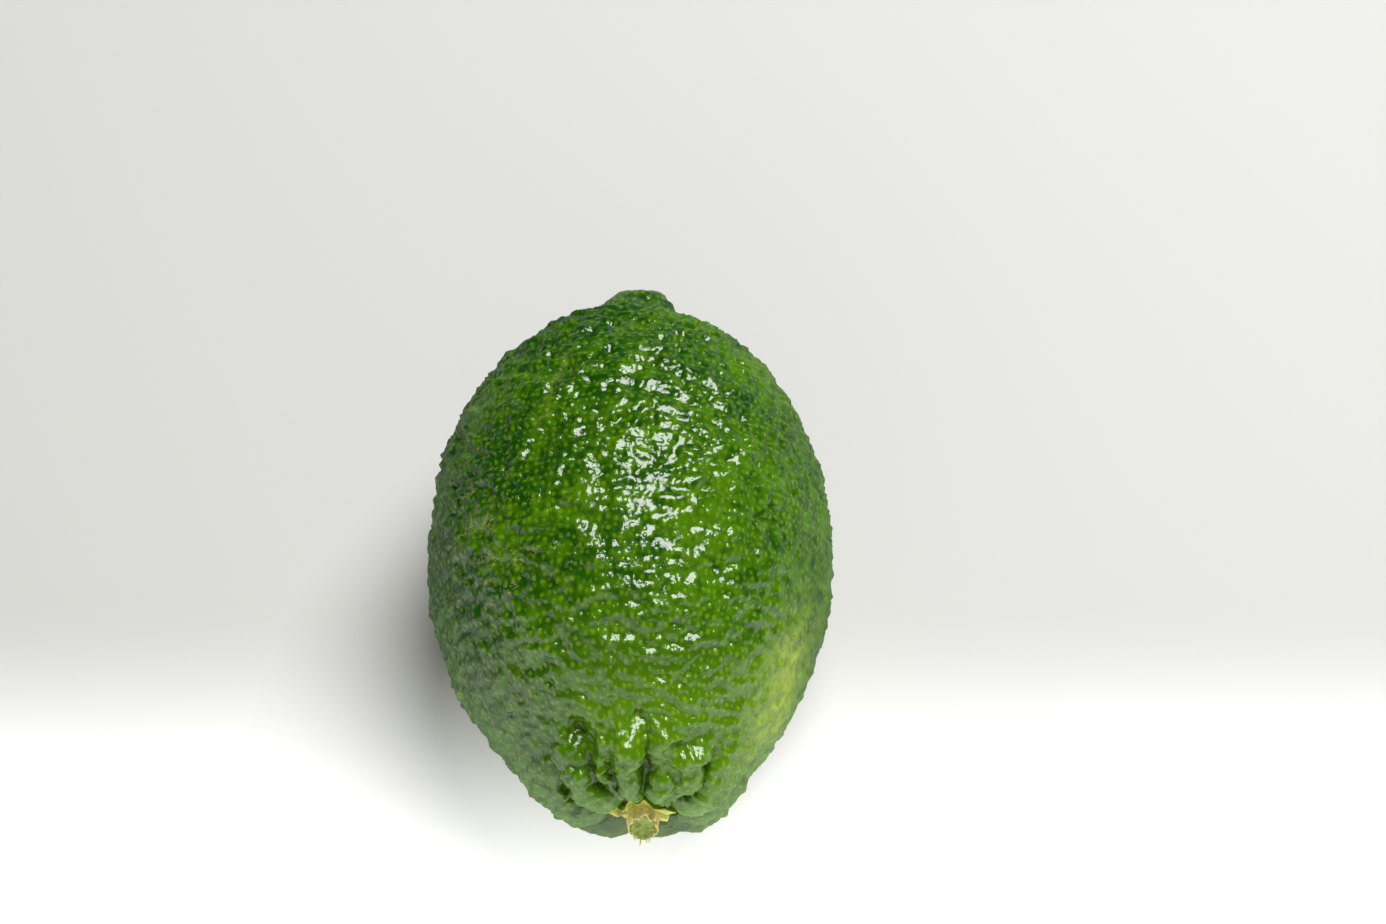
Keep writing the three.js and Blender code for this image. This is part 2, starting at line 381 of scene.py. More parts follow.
def valley(tree, furrows, place, probe, parts):  # round-shouldered, along the nearest furrow
    nearest = addNode(tree, "GeometryNodeSampleNearest", {
        "Geometry": furrows, "Sample Position": probe,
    }, domain="POINT").outputs[0]
    nearPlace = addNode(tree, "GeometryNodeSampleIndex", {
        "Geometry": furrows, "Value": place, "Index": nearest,
    }, data_type="FLOAT_VECTOR", domain="POINT").outputs[0]
    depth = addNode(tree, "GeometryNodeSampleIndex", {
        "Geometry": furrows, "Value": recalled(tree, "depth"), "Index": nearest,
    }, data_type="FLOAT", domain="POINT").outputs[0]
    depth = product(tree, depth, parts["stemwards"])
    gap = calc(tree, "DIVIDE", arrow(tree, "DISTANCE", probe, nearPlace), stemEnd["shoulder"])
    short = calc(tree, "SUBTRACT", 1.0, calc(tree, "MINIMUM", gap, 1.0))
    sunk = calc(tree, "SUBTRACT", 1.0, calc(tree, "SQRT", calc(
        tree, "SUBTRACT", 1.0, calc(tree, "POWER", short, 2.0))))
    # painted shade: darker down the furrows, in step with their depth
    creaseShade = product(tree, calc(tree, "POWER", short, 3.0),
                     calc(tree, "DIVIDE", depth, stemEnd["fullCreaseShade"]))
    # painted shade: darker spots low in the hollow, where shade falls under the fruit
    for angle, far, radius in stemEnd["shade"]:
        middle = fruitPoint("stem", angle, far * mm)
        shade = roundHill(tree, arrow(tree, "DISTANCE", probe, middle), radius * mm)
        creaseShade = calc(tree, "MAXIMUM", creaseShade, product(tree, shade, parts["stemwards"]))
    return product(tree, sunk, depth, -1.0), creaseShade


def knobHeights(tree, probe):
    heights = []
    for end, setting in (("stem", stemEnd), ("tip", tipEnd)):
        for angle, far, radius, height in setting["knobs"]:
            middle = fruitPoint(end, angle, far * mm)
            hill = roundHill(tree, arrow(tree, "DISTANCE", probe, middle), radius * mm)
            heights.append(calc(tree, "MULTIPLY", hill, height * mm))
    return heights


def reliefHeight(tree, perMm, bearing, parts, distance, zone):
    acrossX, _, acrossZ = splitAxes(tree, perMm)
    stretched = calc(tree, "MULTIPLY", parts["polar"], peelRelief["wrinkleStretch"])
    peelMap = joinAxes(tree, acrossX, stretched, acrossZ)
    slow = softNoise(tree, perMm, peelRelief["swellScale"], 1.0)
    wrinkle = softNoise(tree, peelMap, peelRelief["wrinkleScale"], 1.0, 0.5, 0.6)
    ripple = softNoise(tree, peelMap, peelRelief["rippleScale"], 1.0, 0.5, 0.4)
    drift = addNode(tree, "ShaderNodeTexNoise", {"Vector": peelMap, "Scale": 0.3, "Detail": 1.0})
    drift = arrow(tree, "SCALE", drift.outputs["Color"], scale=peelRelief["cushionStray"])
    drifted = arrow(tree, "ADD", peelMap, drift)
    cushion = cells(tree, drifted, peelRelief["cushionScale"], "SMOOTH_F1", Smoothness=0.35)
    cushion = calc(tree, "SUBTRACT", 0.5, cushion)
    pit = slide(tree, cells(tree, perMm, peelRelief["pitScale"]), 0.12, 0.42, 1.0, 0.0)
    wartMap = arrow(tree, "ADD", perMm, (31.0, 7.0, 13.0))  # a pattern apart from the pits'
    wart = slide(tree, cells(tree, wartMap, peelRelief["wartScale"]), 0.05, 0.25, 1.0, 0.0)
    worn = total(tree, [1.0, markShare(tree, bearing, marks["rubbed"]),
                        markShare(tree, bearing, marks["folded"])])
    puckered = calc(tree, "MULTIPLY_ADD", zone, peelRelief["puckering"], 1.0)
    relief = total(tree, [
        product(tree, slow, peelRelief["swellSize"]),
        product(tree, wrinkle, peelRelief["wrinkleSize"]),
        product(tree, ripple, peelRelief["rippleSize"], worn),
        product(tree, cushion, peelRelief["cushionSize"], puckered),
        product(tree, pit, -peelRelief["pitDepth"]),
        product(tree, wart, peelRelief["wartHeight"], puckered),
    ])
    ends = either(tree, parts, slide(tree, distance, *peelRelief["tipEase"]),
                  slide(tree, distance, *peelRelief["stemEase"]))
    sides = slide(tree, parts["sideways"], *peelRelief["sideEase"])
    still = [calc(tree, "SUBTRACT", 1.0, markShare(tree, bearing, mark)) for mark in marks["smooth"]]
    return product(tree, relief, ends, sides, *still)


def restingPlace(tree, given, place):  # both ends shifted, lifted, and the flat spot pressed in
    x, y, z = splitAxes(tree, place)
    top = calc(tree, "ADD", given["Tip length"], given["Nipple height"])
    tipShare = calc(tree, "POWER", calc(tree, "DIVIDE", calc(tree, "MAXIMUM", y, 0.0), top), 6.0)
    stemShare = calc(tree, "DIVIDE", calc(tree, "MULTIPLY", y, -1.0), given["Stem length"])
    stemShare = slide(tree, stemShare, *fruit["shiftRange"])
    x = total(tree, [x, product(tree, given["Tip shift"], tipShare),
                     product(tree, given["Stem shift"], stemShare)])
    lift = calc(tree, "SUBTRACT", given["Radius"], given["Rest depth"])
    z = calc(tree, "MAXIMUM", calc(tree, "ADD", z, lift), 0.0)
    return joinAxes(tree, x, y, z)


def fruitTree():
    tree = bpy.data.node_groups.new("limeBody", "GeometryNodeTree")
    given = treeInputs(tree)
    place = addNode(tree, "GeometryNodeInputPosition").outputs[0]
    body = blownCube(tree, place, given["Squares"])
    bearing = recalled(tree, "bearing", "FLOAT_VECTOR")
    parts = bearingParts(tree, bearing)
    smooth, distance = smoothPlace(tree, given, parts)
    body = moved(tree, body, Position=smooth)

    # The lobes: valleys along the furrows, with knobs here and there
    seed = calc(tree, "MULTIPLY", given["Seed"], 7.31)  # another seed moves every noise elsewhere
    perMm = arrow(tree, "SCALE", place, scale=1 / mm)
    perMm = arrow(tree, "ADD", perMm, joinAxes(tree, seed, seed, seed))
    probe = strayed(tree, place, perMm)
    sunk, creaseShade = valley(tree, given["Furrow points"], place, probe, parts)
    zone = product(tree, slide(tree, distance, *stemEnd["swellFrom"]),
                   slide(tree, distance, *stemEnd["swellTo"], 1.0, 0.0), parts["stemwards"])
    swell = product(tree, zone, stemEnd["swell"])
    raised = total(tree, [swell, sunk] + knobHeights(tree, probe))
    heart = product(tree, either(tree, parts, 0.2, -0.33), given["Stem length"])
    heart = joinAxes(tree, 0.0, heart, 0.0)
    outward = arrow(tree, "NORMALIZE", arrow(tree, "SUBTRACT", place, heart))
    body = moved(tree, body, Offset=arrow(tree, "SCALE", outward, scale=raised))
    # the painted shade of the furrows and the hollow, kept for the peel's colour
    body = stored(tree, body, "creaseShade", creaseShade)

    # The peel's relief: wrinkles that run round the fruit, cushions, pits, and a few warts
    relief = reliefHeight(tree, perMm, bearing, parts, distance, zone)
    normal = addNode(tree, "GeometryNodeInputNormal").outputs[0]
    body = moved(tree, body, Offset=arrow(tree, "SCALE", normal, scale=relief))

    body = moved(tree, body, Position=restingPlace(tree, given, place))
    body = addNode(tree, "GeometryNodeSetShadeSmooth", {"Geometry": body}).outputs[0]
    body = addNode(tree, "GeometryNodeRealizeInstances", {"Geometry": body}).outputs[0]
    body = addNode(tree, "GeometryNodeSetMaterial", {
        "Geometry": body, "Material": given["Peel"],
    }).outputs[0]
    addNode(tree, "NodeGroupOutput", {"Geometry": body})
    return tree


def makeFruit(material):
    seedling = furrowPoints()
    bpy.context.collection.objects.link(seedling)
    tree = fruitTree()
    modifier = seedling.modifiers.new("limeBody", "NODES")
    modifier.node_group = tree
    settings = {"Squares": fruit["squares"], "Seed": fruit["seed"], "Peel": material, **sizeInputs}
    for item in tree.interface.items_tree:
        if item.in_out == "INPUT" and item.name in settings:
            modifier[item.identifier] = settings[item.name]
    graph = bpy.context.evaluated_depsgraph_get()
    mesh = bpy.data.meshes.new_from_object(seedling.evaluated_get(graph))
    seedling.modifiers.remove(modifier)
    mesh.transform(Matrix.Translation((ringCentre.x, ringCentre.y, 0)))
    seedling.data = mesh
    print("fruit:", len(mesh.polygons), "faces")
    return seedling


def newMaterial(name):
    material = bpy.data.materials.new(name)
    material.use_nodes = True
    tree = material.node_tree
    tree.nodes.clear()
    shader = addNode(tree, "ShaderNodeBsdfPrincipled")
    output = addNode(tree, "ShaderNodeOutputMaterial", {"Surface": shader.outputs[0]})
    output.is_active_output = True
    return material, tree, shader


def blendColour(tree, share, first, second):
    node = addNode(tree, "ShaderNodeMix", data_type="RGBA")
    kinds = {"Factor": "VALUE", "A": "RGBA", "B": "RGBA"}
    for name, value in (("Factor", share), ("A", first), ("B", second)):
        socket = next(s for s in node.inputs if s.name == name and s.type == kinds[name])
        feed(tree, socket, value)
    return next(s for s in node.outputs if s.type == "RGBA")


def colour(red, green, blue):  # a display colour, 0 to 255, as linear light
    return tuple((value / 255) ** 2.2 for value in (red, green, blue)) + (1,)


def perMillimetre(tree):  # the place on the piece, in millimetres
    position = addNode(tree, "ShaderNodeTexCoord").outputs["Object"]
    return arrow(tree, "SCALE", position, scale=1 / mm)


def grain(tree, shader, height, depth, coated=False):
    bump = addNode(tree, "ShaderNodeBump", {"Strength": 1.0, "Distance": depth, "Height": height})
    feed(tree, shader.inputs["Normal"], bump.outputs[0])
    if coated:
        feed(tree, shader.inputs["Coat Normal"], bump.outputs[0])


peelLook = {
    "deep": colour(23, 66, 0),
    "fresh": colour(68, 108, 2),
    "gland": colour(104, 142, 8),
    "glandStemLight": colour(138, 172, 48),  # painted light: glands lighter towards the stem, as if lit from the table in front
    # painted shade, laid in the furrows and the hollow
    "creaseShade": colour(18, 46, 4),
    # painted light: the peel lighter towards the stem end, standing in for light from the white table
    # in front
    "stemEnd": colour(88, 130, 14),
    "yellowed": colour(162, 184, 56),
    "pale": colour(106, 128, 40),  # underneath, where the fruit saw no sun
    "rub": colour(160, 158, 70),
    "speck": colour(186, 160, 96),
    "glandSpacing": 0.92,  # millimetres
    "glandRadius": 0.34,  # share of the spacing
    "glandArc": 31.0,  # millimetres, the middle's mean distance from the peel
    "glandRing": 25.0,  # millimetres, the widest ring's radius
    "warp": 0.012,  # how far the rows of glands stray
    "patchScale": 0.12,
    "mottleScale": 0.7,
    "yellowShare": 0.64,  # the most that each mark takes of the green
    "creaseShadeShare": 0.8,
    "rubShare": 0.65,
    "scarShare": 0.14,
    "scarWidth": 0.011,
    "speckScale": 0.9,
    "bumpDepth": 0.05 * mm,
    "bumpShares": (0.9, 0.6, 0.1, 0.6, -0.8),  # glands, fine grain, finest, rubs, scar
    "roughness": 0.45,
    "specularLevel": 0.04,  # low, because the coat of wax gives the shine
    "waxWeight": 0.14,
    "waxIOR": 3.5,  # high, for bright glints with little shine at the rims
    "waxRoughness": 0.12,
    "softWeight": 0.12,
    "softRadius": (0.4, 1.0, 0.15),
    "softDepth": 0.8 * mm,
}


def glandPattern(tree, bearing):  # rows of oil glands, every one a little astray: 1 on a gland
    spacing = peelLook["glandSpacing"]
    arc = peelLook["glandArc"]
    stray = addNode(tree, "ShaderNodeTexNoise", {"Vector": bearing, "Scale": 3.5, "Detail": 1.0})
    stray = arrow(tree, "SUBTRACT", stray.outputs["Color"], (0.5, 0.5, 0.5))
    bearing = arrow(tree, "ADD", bearing, arrow(tree, "SCALE", stray, scale=4 * peelLook["warp"]))
    x, y, z = splitAxes(tree, arrow(tree, "NORMALIZE", bearing))
    polar = calc(tree, "ARCCOSINE", y)
    around = calc(tree, "ARCTAN2", x, z)
    v = calc(tree, "MULTIPLY", polar, arc / spacing)
    row = calc(tree, "FLOOR", v)
    ring = calc(tree, "SINE", calc(tree, "MULTIPLY", calc(tree, "ADD", row, 0.5), spacing / arc))
    fitting = calc(tree, "MULTIPLY", ring, 2 * pi * peelLook["glandRing"] / spacing)
    count = calc(tree, "MAXIMUM", calc(tree, "ROUND", fitting), 1.0)
    turn = calc(tree, "MULTIPLY_ADD", around, 1 / (2 * pi), 0.5)
    u = calc(tree, "MULTIPLY_ADD", turn, count, calc(tree, "MULTIPLY", row, 0.37))
    column = calc(tree, "FLOOR", u)
    cell = joinAxes(tree, row, calc(tree, "FLOORED_MODULO", column, count), 0.0)
    chance = addNode(tree, "ShaderNodeTexWhiteNoise", {"Vector": cell}, noise_dimensions="3D")
    chances = addNode(tree, "ShaderNodeSeparateColor", {"Color": chance.outputs["Color"]})
    jitterU, jitterV, size = chances.outputs
    middleU = calc(tree, "MULTIPLY_ADD", jitterU, 0.5, calc(tree, "ADD", column, 0.25))
    middleV = calc(tree, "MULTIPLY_ADD", jitterV, 0.5, calc(tree, "ADD", row, 0.25))
    far = arrow(tree, "LENGTH", joinAxes(tree, calc(tree, "SUBTRACT", u, middleU),
                                         calc(tree, "SUBTRACT", v, middleV), 0.0))
    far = calc(tree, "DIVIDE", far, calc(tree, "MULTIPLY_ADD", size, 0.5, 0.7))
    return slide(tree, far, 0.04, peelLook["glandRadius"] + 0.08, 1.0, 0.0), size


def lineShare(tree, bearing, route, width):  # 1 on a thin line through the route's points
    shares = []
    for start, end in zip(route, route[1:]):
        way = Vector(end) - Vector(start)
        fromStart = arrow(tree, "SUBTRACT", bearing, start)
        share = arrow(tree, "DOT_PRODUCT", fromStart, tuple(way))
        share = calc(tree, "DIVIDE", share, way.length_squared)
        share = calc(tree, "MINIMUM", calc(tree, "MAXIMUM", share, 0.0), 1.0)
        foot = arrow(tree, "SCALE", joinAxes(tree, *way), scale=share)
        shares.append(roundHill(tree, arrow(tree, "DISTANCE", fromStart, foot), width))
    result = shares[0]
    for share in shares[1:]:
        result = calc(tree, "MAXIMUM", result, share)
    return result


def skinColour(tree, bearing, perMm, gland, chance):  # green, paler underneath, with painted light towards the stem end and painted shade on the left and in the furrows
    sideways, lengthways, upwards = splitAxes(tree, bearing)
    patches = softNoise(tree, perMm, peelLook["patchScale"], 2.0)
    mottle = softNoise(tree, perMm, peelLook["mottleScale"], 2.0)
    tone = calc(tree, "MULTIPLY_ADD", patches, 0.8, calc(tree, "MULTIPLY_ADD", mottle, 1.0, 0.41))
    tone = calc(tree, "MULTIPLY_ADD", sideways, 0.2, tone)  # painted shade: darker on the left, away from the lamp
    base = blendColour(tree, slide(tree, tone, 0.0, 1.0), peelLook["deep"], peelLook["fresh"])
    low = slide(tree, upwards, -0.85, -0.1, 0.55, 0.0)
    base = blendColour(tree, low, base, peelLook["pale"])
    # painted light: lighter towards the stem end and less so on the left, standing in for the table's
    # bounce light
    stemwardLight = slide(tree, lengthways, -0.25, -0.85, 0.0, 0.7)
    stemwardLight = product(tree, stemwardLight, slide(tree, sideways, -0.6, 0.0, 0.35, 1.0))
    base = blendColour(tree, stemwardLight, base, peelLook["stemEnd"])
    frayed = slide(tree, mottle, -0.4, 0.4, 0.35, 1.0)
    for mark in marks["yellow"]:
        share = product(tree, markShare(tree, bearing, mark), frayed, peelLook["yellowShare"])
        base = blendColour(tree, share, base, peelLook["yellowed"])
    strength = calc(tree, "MULTIPLY_ADD", chance, 0.3, 0.3)
    glandColour = blendColour(tree, stemwardLight, peelLook["gland"], peelLook["glandStemLight"])
    base = blendColour(tree, product(tree, gland, strength), base, glandColour)
    # painted shade: the furrows and the hollow darkened
    creaseShade = addNode(tree, "ShaderNodeAttribute", attribute_name="creaseShade").outputs["Fac"]
    creaseShade = calc(tree, "MULTIPLY", creaseShade, peelLook["creaseShadeShare"])
    return blendColour(tree, creaseShade, base, peelLook["creaseShade"])


def driedThreads(tree, bearing, perMm):  # fine curly lines on the rubbed side, dried pale
    curl = softNoise(tree, perMm, 0.9, 1.0)
    curls = arrow(tree, "SCALE", joinAxes(tree, curl, curl, curl), scale=0.9)
    curlMap = arrow(tree, "ADD", perMm, curls)
    threads = slide(tree, cells(tree, curlMap, 0.95, "DISTANCE_TO_EDGE"), 0.02, 0.09, 1.0, 0.0)
    worn = markShare(tree, bearing, marks["rubbed"])
    scattered = slide(tree, softNoise(tree, perMm, 0.45, 2.0), -0.05, 0.3)
    broken = slide(tree, softNoise(tree, perMm, 1.7, 1.0), -0.2, 0.15)
    return product(tree, threads, scattered, broken, worn)


def peelMaterial():
    material, tree, shader = newMaterial("waxyLimePeel")
    bearing = addNode(tree, "ShaderNodeAttribute", attribute_name="bearing").outputs["Vector"]
    bearing = arrow(tree, "NORMALIZE", bearing)
    gland, chance = glandPattern(tree, bearing)
    perMm = perMillimetre(tree)
    base = skinColour(tree, bearing, perMm, gland, chance)
    rub = driedThreads(tree, bearing, perMm)
    base = blendColour(tree, calc(tree, "MULTIPLY", rub, peelLook["rubShare"]), base, peelLook["rub"])
    scar = lineShare(tree, bearing, marks["scar"], peelLook["scarWidth"])
    base = blendColour(tree, calc(tree, "MULTIPLY", scar, peelLook["scarShare"]), base, peelLook["rub"])
    specks = slide(tree, cells(tree, perMm, peelLook["speckScale"]), 0.12, 0.28, 1.0, 0.0)
    specks = product(tree, specks, markShare(tree, bearing, marks["specks"]))
    base = blendColour(tree, specks, base, peelLook["speck"])
    feed(tree, shader.inputs["Base Color"], base)

    fine = softNoise(tree, perMm, 1.5, 2.0)
    grains = softNoise(tree, perMm, 6.0, 1.0)
    height = total(tree, [
        calc(tree, "MULTIPLY", layer, share)
        for layer, share in zip((gland, fine, grains, rub, scar), peelLook["bumpShares"])
    ])
    grain(tree, shader, height, peelLook["bumpDepth"], coated=True)
    shader.inputs["Roughness"].default_value = peelLook["roughness"]
    shader.inputs["Specular IOR Level"].default_value = peelLook["specularLevel"]
    shader.inputs["Coat Weight"].default_value = peelLook["waxWeight"]
    shader.inputs["Coat IOR"].default_value = peelLook["waxIOR"]
    shader.inputs["Coat Roughness"].default_value = peelLook["waxRoughness"]
    shader.inputs["Subsurface Weight"].default_value = peelLook["softWeight"]
    shader.inputs["Subsurface Radius"].default_value = peelLook["softRadius"]
    shader.inputs["Subsurface Scale"].default_value = peelLook["softDepth"]
    return material


calyxLow, calyxHigh = (Vector(corner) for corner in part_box("calyx"))
stubLow, stubHigh = (Vector(corner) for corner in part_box("stem_stub"))
stubMiddle = (stubLow + stubHigh) / 2


def makePiece(name, form, material):  # a smooth object from a closed form
    bmesh.ops.recalc_face_normals(form, faces=form.faces)
    mesh = bpy.data.meshes.new(name)
    form.to_mesh(mesh)
    form.free()
    mesh.shade_smooth()
    mesh.materials.append(material)
    piece = bpy.data.objects.new(name, mesh)
    bpy.context.collection.objects.link(piece)
    return piece


def loft(name, rings, material, wrap=False):  # a closed skin through rings of as many points each
    form = bmesh.new()
    rows = [[form.verts.new(point) for point in ring] for ring in rings]
    pairs = list(zip(rows, rows[1:])) + ([(rows[-1], rows[0])] if wrap else [])
    for first, second in pairs:
        for i in range(len(first)):
            j = (i + 1) % len(first)
            form.faces.new((first[i], first[j], second[j], second[i]))
    for row in () if wrap else (rows[0], rows[-1]):
        middle = form.verts.new(sum((vert.co for vert in row), Vector()) / len(row))
        for i in range(len(row)):
            form.faces.new((row[i], row[(i + 1) % len(row)], middle))
    return makePiece(name, form, material)


def smoothen(piece, levels):
    modifier = piece.modifiers.new("smoothSkin", "SUBSURF")
    modifier.levels = levels
    modifier.render_levels = levels


def ragged(x, y, z):  # about -1 to 1, the same every run
    return noise.noise(Vector((x, y, z))) * 1.6


def turnBetween(angle, middle):  # from a direction in degrees to an angle, -pi to pi
    return (angle - radians(middle) + pi) % (2 * pi) - pi


calyx = {
    "sepals": [  # angle from the top, reach, and spread in degrees
        (-78, 4.5, 17), (-24, 3.5, 24), (66, 4.3, 15), (136, 3.9, 22), (-148, 3.9, 22),
    ],
    "collar": 3.1 * mm,  # out to the notches between the sepals
    "inside": 1.5 * mm,
    "thickness": 0.6 * mm,
    "tipThickness": 0.22 * mm,
    "seat": 0.12 * mm,  # above the peel
    "around": 150,
    "across": 12,
    "rise": 1.1 * mm,  # how far the collar stands off the peel beside the stem
    "fall": 1.6 * mm,  # how much further out the sepals are back on the peel
    "curl": 0.35 * mm,  # how far the tips lift off the peel
    "roughness": 0.05 * mm,
    "crown": 0.12 * mm,  # thicker halfway along a sepal
    "settle": 4,  # rounds of evening out over the lobes underneath
}


def sepalReach(angle):
    reach = calyx["collar"] + 0.12 * mm * ragged(cos(angle) * 5, sin(angle) * 5, 3)
    longest = 0
    for middle, length, spread in calyx["sepals"]:
        off = turnBetween(angle, middle)
        point = max(0, 1 - abs(off) / radians(spread * 1.7)) ** 1.4
        longest = max(longest, point * (length * mm - calyx["collar"]))
    return reach + longest


def makeCalyx(peel, material):  # a star laid on the peel of the hollow
    ground = BVHTree.FromObject(peel, bpy.context.evaluated_depsgraph_get())
    lower, upper = [], []
    for i in range(calyx["across"] + 1):
        share = i / calyx["across"]
        heights, spots = [], []
        for step in range(calyx["around"]):
            angle = 2 * pi * step / calyx["around"]
            far = calyx["inside"] + (sepalReach(angle) - calyx["inside"]) * share
            x, z = stubMiddle.x + far * sin(angle), stubMiddle.z + far * cos(angle)
            hit = ground.ray_cast(Vector((x, stubLow.y - 10 * mm, z)), Vector((0, 1, 0)))[0]
            spots.append((x, z, angle))
            heights.append(max(hit.y, calyxLow.y - 1.2 * mm) - calyx["seat"])
        count = len(heights)
        for _ in range(calyx["settle"]):
            heights = [(heights[k - 1] + 2 * heights[k] + heights[(k + 1) % count]) / 4
                       for k in range(count)]
        under, over = [], []
        for (x, z, angle), height in zip(spots, heights):
            rough = calyx["roughness"] * ragged(x / mm * 2, z / mm * 2, 7)
            thick = calyx["thickness"] + (calyx["tipThickness"] - calyx["thickness"]) * share
            past = hypot(x - stubMiddle.x, z - stubMiddle.z) - calyx["collar"]
            fallen = max(0, min(1, past / calyx["fall"]))
            lift = calyx["curl"] * share ** 3 + calyx["rise"] * (1 - fallen) ** 2 + rough
            under.append(Vector((x, height - lift, z)))
            over.append(Vector((x, height - lift - thick - calyx["crown"] * sin(pi * share), z)))
        lower.append(under)
        upper.append(over)
    piece = loft("calyx", lower + upper[::-1], material, wrap=True)
    share = [i / calyx["across"] for i in range(calyx["across"] + 1)]
    values = [value for value in share + share[::-1] for _ in range(calyx["around"])]
    rim = piece.data.attributes.new("rim", "FLOAT", "POINT")
    rim.data.foreach_set("value", values)
    smoothen(piece, 1)
    print("calyx:", len(piece.data.polygons), "faces")
    return piece


stem = {
    "barkRadius": 1.9 * mm,
    "barkThickness": 0.4 * mm,
    "flare": 0.3 * mm,  # wider where it joins the fruit
    "flareLength": 0.7 * mm,
    "lumpHeight": 0.1 * mm,
    "ribs": 9,
    "ribHeight": 0.08 * mm,
    "rimDraw": 0.12 * mm,  # how far the rim of the cut draws in
    "topLength": 2.15 * mm,  # of the bark, from the calyx to the cut
    "bottomLength": 3.6 * mm,
    "tear": 0.22 * mm,
    "notches": [  # angle from the top, spread in degrees, and depth
        (10, 14, 0.25), (60, 9, 0.3), (160, 15, 0.5), (-150, 12, -0.3),
    ],
    "coreRadius": 1.55 * mm,
    "coreTop": 1.95 * mm,
    "coreBottom": 3.95 * mm,
    "coreStart": 0.6 * mm,  # the core starts this far out from the stub's inner end
    "cutRoughness": (0.09 * mm, 0.11 * mm, 0.05 * mm),  # at the rim, over the face, and fine
    "cutHollow": 0.12 * mm,  # how far the middle of the cut is sunk
    "around": 96,
    "rows": 16,
    "coreRows": 10,
    "cutRings": 8,
    "fibres": 6,
    "fibreLength": (0.3 * mm, 0.8 * mm),
    "fibreRadius": 0.15 * mm,
    "fibreRoot": 0.25 * mm,  # how deep a fibre starts in the core
    "fibreSides": 6,
    "fibreRows": 3,
    "seed": 12,
}


def barkLength(angle):  # short on top, where the cut slants back, with torn notches
    tilt = (0.5 - 0.5 * cos(angle)) ** 0.7
    length = stem["topLength"] + (stem["bottomLength"] - stem["topLength"]) * tilt
    length += stem["tear"] * ragged(cos(angle) * 4, sin(angle) * 4, 11)
    for middle, spread, depth in stem["notches"]:
        off = turnBetween(angle, middle)
        length -= depth * mm * exp(-((off / radians(spread)) ** 2))
    return length


def makeBark(material):  # a sleeve: out along its outer skin, over the torn rim, back inside
    rings = []
    top = stubHigh.y
    rows = stem["rows"]
    for side in ("outer", "inner"):
        for row in range(rows + 1) if side == "outer" else range(rows, -1, -1):
            share = row / rows
            ring = []
            for i in range(stem["around"]):
                angle = 2 * pi * i / stem["around"]
                length = barkLength(angle)
                y = top - length * share
                radius = stem["barkRadius"]
                radius += stem["flare"] * exp(-share * length / stem["flareLength"])
                radius += stem["lumpHeight"] * ragged(sin(angle) * 2.2, y / mm * 0.9, cos(angle) * 2.2)
                wave = stem["ribs"] * angle + 2 * ragged(angle, y / mm * 0.5, 1)
                radius += stem["ribHeight"] * cos(wave)
                if side == "inner":
                    radius -= stem["barkThickness"] * (1 - 0.35 * share) * (1.1 + 0.4 * cos(angle))
                else:
                    radius -= stem["rimDraw"] * share ** 6
                ring.append(Vector((stubMiddle.x + radius * sin(angle), y,
                                    stubMiddle.z + radius * cos(angle))))
            rings.append(ring)
    return loft("stem_bark", rings, material, wrap=True)


def makeCore(material):  # the slanted green cut, with a rough face
    rings = []
    start = stubHigh.y - stem["coreStart"]
    slope = (stem["coreBottom"] - stem["coreTop"]) / (2 * stem["coreRadius"])
    rimRough, faceRough, fineRough = stem["cutRoughness"]
    for row in range(stem["coreRows"] + 1):
        share = row / stem["coreRows"]
        ring = []
        for i in range(stem["around"]):
            angle = 2 * pi * i / stem["around"]
            radius = stem["coreRadius"] * (1 + 0.05 * ragged(sin(angle) * 2, share, cos(angle) * 2))
            reach = (stem["coreTop"] + stem["coreBottom"]) / 2 - slope * radius * cos(angle)
            reach += rimRough * ragged(sin(angle) * 6, 4, cos(angle) * 6)
            y = start + (stubHigh.y - reach - start) * share
            ring.append(Vector((stubMiddle.x + radius * sin(angle), y,
                                stubMiddle.z + radius * cos(angle))))
        rings.append(ring)
    outline = rings[-1]
    middle = sum(outline, Vector()) / len(outline)
    for row in range(1, stem["cutRings"]):
        share = 1 - row / stem["cutRings"]
        ring = []
        for point in outline:
            spot = middle.lerp(point, share)
            bumpy = ragged(spot.x / mm * 2.2, 2, spot.z / mm * 2.2)
            spot.y += faceRough * bumpy + stem["cutHollow"] * (1 - share)
            spot.y += fineRough * ragged(spot.x / mm * 7, 5, spot.z / mm * 7)
            ring.append(spot)
        rings.append(ring)
    return loft("stem_core", rings, material)


